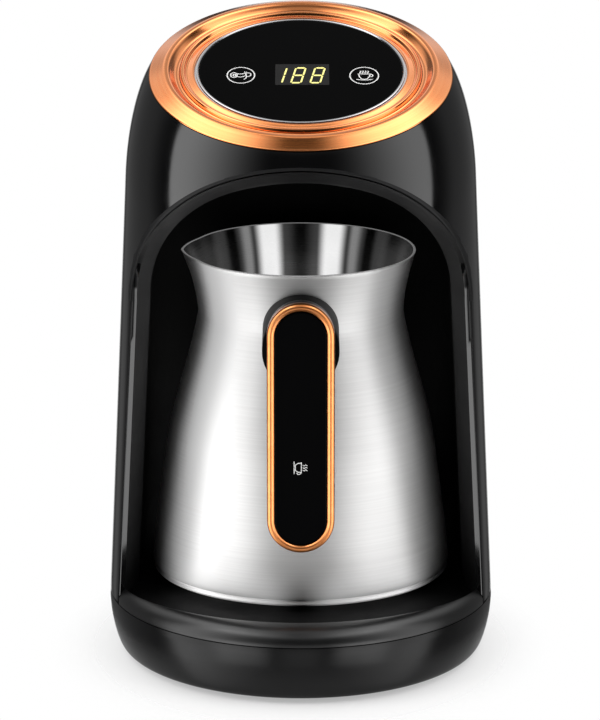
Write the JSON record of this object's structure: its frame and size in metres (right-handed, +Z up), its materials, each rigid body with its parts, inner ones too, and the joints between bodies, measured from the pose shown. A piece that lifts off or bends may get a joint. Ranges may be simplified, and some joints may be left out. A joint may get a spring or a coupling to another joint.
{
  "type": "electric coffee maker",
  "caption": "Electric coffee maker for pot-brewed coffee: round black body with an arched alcove, lift-out steel pot on a heating plate, touch panel in a copper ring.",
  "frame": {"origin": "under the middle of the body, on the plane the rubber feet stand on", "axes": "+Z up, -Y to the front where the pot's handle is, +X to the right seen from the front"},
  "size_m": [0.14, 0.176, 0.2325],
  "materials": {
    "black_shell": "satin-gloss black plastic",
    "black_gloss": "glossy black plastic",
    "black_satin": "satin black plastic",
    "black_plain": "plain black plastic",
    "rubber_black": "black rubber",
    "seal_silicone": "dark red silicone",
    "steel_screw": "zinc-plated steel",
    "steel_plain": "plain steel",
    "steel_brushed": "brushed stainless steel",
    "aluminium_plain": "plain aluminium",
    "plate_dark": "dark coated aluminium",
    "guide_ceramic": "cream ceramic",
    "window_smoke": "smoked window",
    "board_green": "green circuit board",
    "relay_blue": "blue relay case",
    "capacitor_yellow": "yellow capacitor case",
    "terminal_green": "green terminal block",
    "lead_brown": "brown insulation",
    "display_grey": "dark grey display with pale digits",
    "lens_black": "glossy black lens",
    "silver_trim": "silver trim",
    "copper_bright": "copper-coloured metal plating"
  },
  "bodies": {
    "maker": {"base_pan": "black_shell", "bottom_cover": "black_plain", "rubber_feet": "rubber_black", "base_screws": "steel_screw", "base_deck": "black_gloss", "cord_gland": "rubber_black", "heating_plate": "plate_dark", "heating_element": "steel_plain", "plate_seal": "seal_silicone", "plate_clamp": "steel_plain", "clamp_screws": "steel_screw", "sensor_guide": "guide_ceramic", "sensor_spring": "steel_plain", "thermostat": "black_plain", "thermal_fuse": "steel_plain", "main_shell": "black_shell", "rear_cover": "black_shell", "shell_screws": "steel_screw", "arch_bezel": "black_satin", "alcove_liner": "black_plain", "sensor_window": "window_smoke", "foam_sensor": "board_green", "power_board": "board_green", "relay": "relay_blue", "filter_capacitor": "capacitor_yellow", "terminal_block": "terminal_green", "board_screws": "steel_screw", "inner_leads": "lead_brown", "panel_tray": "black_plain", "tray_screws": "steel_screw", "control_board": "board_green", "display_module": "display_grey", "touch_springs": "steel_plain", "buzzer": "black_plain", "panel_lens": "lens_black", "lens_bezel": "silver_trim", "ring_inner": "copper_bright", "ring_outer": "copper_bright"},
    "pot": {"pot_vessel": "steel_brushed", "pot_base_disc": "steel_brushed", "handle_bracket": "steel_plain", "handle_collar": "black_satin", "handle_grip": "black_satin", "handle_inlay": "lens_black", "handle_band": "copper_bright", "handle_screws": "steel_screw"},
    "plunger": {"sensor_plunger": "aluminium_plain"}
  },
  "joints": [
    {"name": "pot_draw_out", "type": "slide", "parent": "maker", "child": "pot", "axis": [0, -0.9781, 0.2079], "range_m": [0, 0.165]},
    {"name": "sensor_press", "type": "slide", "parent": "maker", "child": "plunger", "axis": [0, 0, 1], "range_m": [-0.002, 0], "stiffness_N_per_m": 300, "springref_m": 0.003, "deforming": ["sensor_spring"]}
  ]
}
